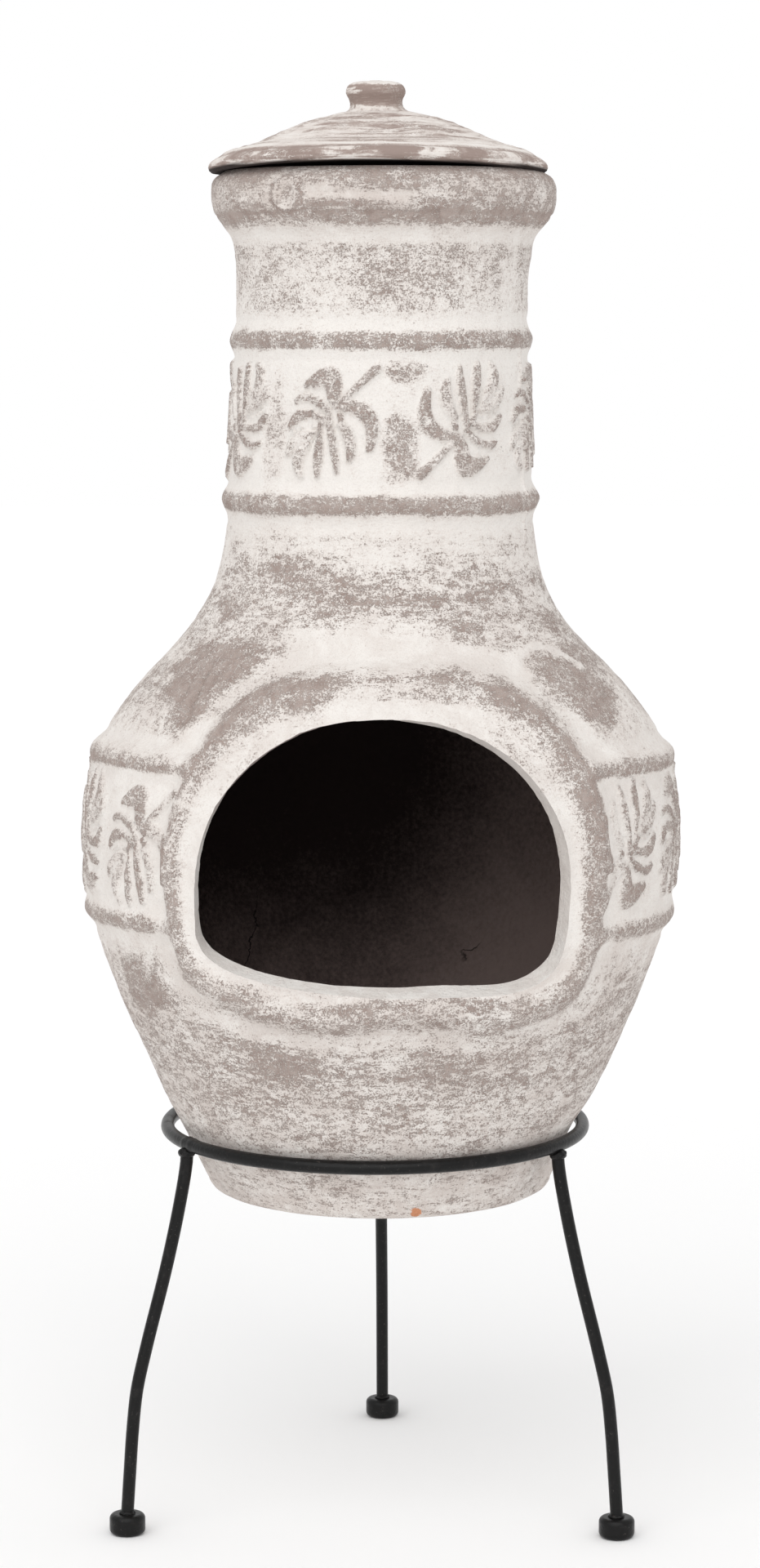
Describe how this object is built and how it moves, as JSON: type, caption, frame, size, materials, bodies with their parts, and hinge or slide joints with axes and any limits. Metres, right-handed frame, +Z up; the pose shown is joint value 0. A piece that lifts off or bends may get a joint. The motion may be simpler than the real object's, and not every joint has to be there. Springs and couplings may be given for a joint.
{
  "type": "clay chiminea",
  "caption": "Free-standing garden fireplace: a limewashed clay pot with an arched firebox mouth and a flue neck under a loose clay lid, held in a ring stand on bent bar legs.",
  "frame": {"origin": "on the pot's vertical axis at floor level, in the middle of the stand's three feet", "axes": "+Z up along the pot's axis, -Y out of the firebox mouth, +X to the right of someone facing the mouth"},
  "size_m": [0.3924, 0.3825, 0.941],
  "materials": {
    "limewashed_clay": "matte low-fired clay, off-white limewash rubbed back to taupe on the raised parts",
    "lid_clay": "matte low-fired clay, taupe with thin streaks of off-white limewash",
    "black_paint": "satin black paint on steel bar"
  },
  "bodies": {
    "stand": {"support_ring": "black_paint", "leg_front_left": "black_paint", "leg_front_right": "black_paint", "leg_rear": "black_paint", "foot_front_left": "black_paint", "foot_front_right": "black_paint", "foot_rear": "black_paint", "ring_weld_front_left": "black_paint", "ring_weld_front_right": "black_paint", "ring_weld_rear": "black_paint", "foot_weld_front_left": "black_paint", "foot_weld_front_right": "black_paint", "foot_weld_rear": "black_paint"},
    "pot": {"clay_pot": "limewashed_clay"},
    "lid": {"lid": "lid_clay"}
  },
  "joints": [
    {"name": "pot_lift", "type": "slide", "parent": "stand", "child": "pot", "axis": [0, 0, 1], "range_m": [0, 0.1]},
    {"name": "lid_lift", "type": "slide", "parent": "pot", "child": "lid", "axis": [0, 0, 1], "range_m": [0, 0.12]}
  ]
}
